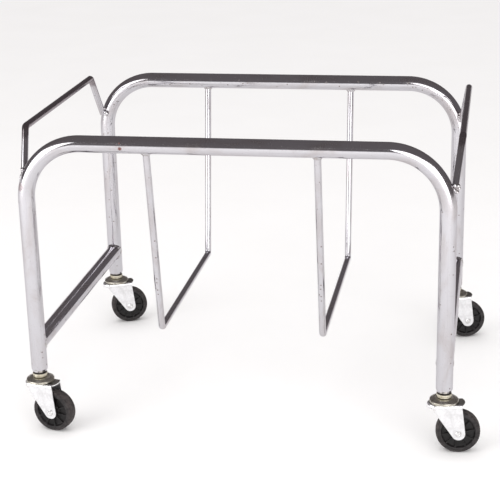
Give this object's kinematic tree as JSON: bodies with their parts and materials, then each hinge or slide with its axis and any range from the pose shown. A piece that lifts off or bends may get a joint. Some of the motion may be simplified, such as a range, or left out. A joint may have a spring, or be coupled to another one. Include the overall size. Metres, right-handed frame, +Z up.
{
  "type": "linen trolley",
  "caption": "Low bent-tube trolley frame with end handles and hanging U-shaped cradles that carry a linen bag between two rails, on swivel casters.",
  "frame": {"origin": "on the floor, at the centre of the overall bounding box at rest", "axes": "+X along the length of the rails from the left end to the right end, +Y from the front frame to the rear frame, +Z up"},
  "size_m": [1.0614, 0.7562, 0.7211],
  "materials": {
    "chrome_tube": "bright chrome plating with light scratches and pitting",
    "zinc_fork": "bright zinc plated pressing, slightly dull",
    "zinc_cap": "zinc plating with a faint yellow-brown tint",
    "yellow_zinc": "pale yellow zinc plating",
    "plain_steel": "oiled bare steel",
    "dark_steel": "dark oxide",
    "black_moulding": "moulded black polymer, scuffed tread"
  },
  "bodies": {
    "frame": {"front_tube_frame": "chrome_tube", "rear_tube_frame": "chrome_tube", "left_crossbar": "chrome_tube", "right_crossbar": "chrome_tube", "left_handle": "chrome_tube", "right_handle": "chrome_tube", "left_cradle": "chrome_tube", "right_cradle": "chrome_tube", "front_left_stem_socket": "dark_steel", "front_left_lock_collar": "yellow_zinc", "front_left_raceway_cap": "zinc_cap", "front_left_kingpin": "plain_steel", "front_right_stem_socket": "dark_steel", "front_right_lock_collar": "yellow_zinc", "front_right_raceway_cap": "zinc_cap", "front_right_kingpin": "plain_steel", "rear_left_stem_socket": "dark_steel", "rear_left_lock_collar": "yellow_zinc", "rear_left_raceway_cap": "zinc_cap", "rear_left_kingpin": "plain_steel", "rear_right_stem_socket": "dark_steel", "rear_right_lock_collar": "yellow_zinc", "rear_right_raceway_cap": "zinc_cap", "rear_right_kingpin": "plain_steel"},
    "front_left_race_body": {"front_left_ball_race": "plain_steel"},
    "front_left_swivel_body": {"front_left_fork": "zinc_fork", "front_left_axle": "zinc_fork", "front_left_wheel_bush": "plain_steel"},
    "front_left_wheel_body": {"front_left_wheel": "black_moulding"},
    "front_right_race_body": {"front_right_ball_race": "plain_steel"},
    "front_right_swivel_body": {"front_right_fork": "zinc_fork", "front_right_axle": "zinc_fork", "front_right_wheel_bush": "plain_steel"},
    "front_right_wheel_body": {"front_right_wheel": "black_moulding"},
    "rear_left_race_body": {"rear_left_ball_race": "plain_steel"},
    "rear_left_swivel_body": {"rear_left_fork": "zinc_fork", "rear_left_axle": "zinc_fork", "rear_left_wheel_bush": "plain_steel"},
    "rear_left_wheel_body": {"rear_left_wheel": "black_moulding"},
    "rear_right_race_body": {"rear_right_ball_race": "plain_steel"},
    "rear_right_swivel_body": {"rear_right_fork": "zinc_fork", "rear_right_axle": "zinc_fork", "rear_right_wheel_bush": "plain_steel"},
    "rear_right_wheel_body": {"rear_right_wheel": "black_moulding"}
  },
  "joints": [
    {"name": "front_left_swivel", "type": "hinge", "parent": "frame", "child": "front_left_swivel_body", "pos_m": [-0.49224, -0.3452, 0.12], "axis": [0, 0, 1], "continuous": true},
    {"name": "front_left_race_turn", "type": "hinge", "parent": "frame", "child": "front_left_race_body", "pos_m": [-0.49224, -0.3452, 0.1244], "axis": [0, 0, 1], "continuous": true},
    {"name": "front_left_wheel_spin", "type": "hinge", "parent": "front_left_swivel_body", "child": "front_left_wheel_body", "pos_m": [-0.46045, -0.35196, 0.05], "axis": [0.2079, 0.9781, 0], "continuous": true},
    {"name": "front_right_swivel", "type": "hinge", "parent": "frame", "child": "front_right_swivel_body", "pos_m": [0.44776, -0.3452, 0.12], "axis": [0, 0, 1], "continuous": true},
    {"name": "front_right_race_turn", "type": "hinge", "parent": "frame", "child": "front_right_race_body", "pos_m": [0.44776, -0.3452, 0.1244], "axis": [0, 0, 1], "continuous": true},
    {"name": "front_right_wheel_spin", "type": "hinge", "parent": "front_right_swivel_body", "child": "front_right_wheel_body", "pos_m": [0.48008, -0.3418, 0.05], "axis": [-0.1045, 0.9945, 0], "continuous": true},
    {"name": "rear_left_swivel", "type": "hinge", "parent": "frame", "child": "rear_left_swivel_body", "pos_m": [-0.49224, 0.3348, 0.12], "axis": [0, 0, 1], "continuous": true},
    {"name": "rear_left_race_turn", "type": "hinge", "parent": "frame", "child": "rear_left_race_body", "pos_m": [-0.49224, 0.3348, 0.1244], "axis": [0, 0, 1], "continuous": true},
    {"name": "rear_left_wheel_spin", "type": "hinge", "parent": "rear_left_swivel_body", "child": "rear_left_wheel_body", "pos_m": [-0.46211, 0.34697, 0.05], "axis": [-0.3746, 0.9272, 0], "continuous": true},
    {"name": "rear_right_swivel", "type": "hinge", "parent": "frame", "child": "rear_right_swivel_body", "pos_m": [0.44776, 0.3348, 0.12], "axis": [0, 0, 1], "continuous": true},
    {"name": "rear_right_race_turn", "type": "hinge", "parent": "frame", "child": "rear_right_race_body", "pos_m": [0.44776, 0.3348, 0.1244], "axis": [0, 0, 1], "continuous": true},
    {"name": "rear_right_wheel_spin", "type": "hinge", "parent": "rear_right_swivel_body", "child": "rear_right_wheel_body", "pos_m": [0.47867, 0.34484, 0.05], "axis": [-0.309, 0.9511, 0], "continuous": true}
  ],
  "couplings": [
    {"joint": "front_left_race_turn", "follows": "front_left_swivel", "ratio": 0.5},
    {"joint": "front_right_race_turn", "follows": "front_right_swivel", "ratio": 0.5},
    {"joint": "rear_left_race_turn", "follows": "rear_left_swivel", "ratio": 0.5},
    {"joint": "rear_right_race_turn", "follows": "rear_right_swivel", "ratio": 0.5}
  ]
}
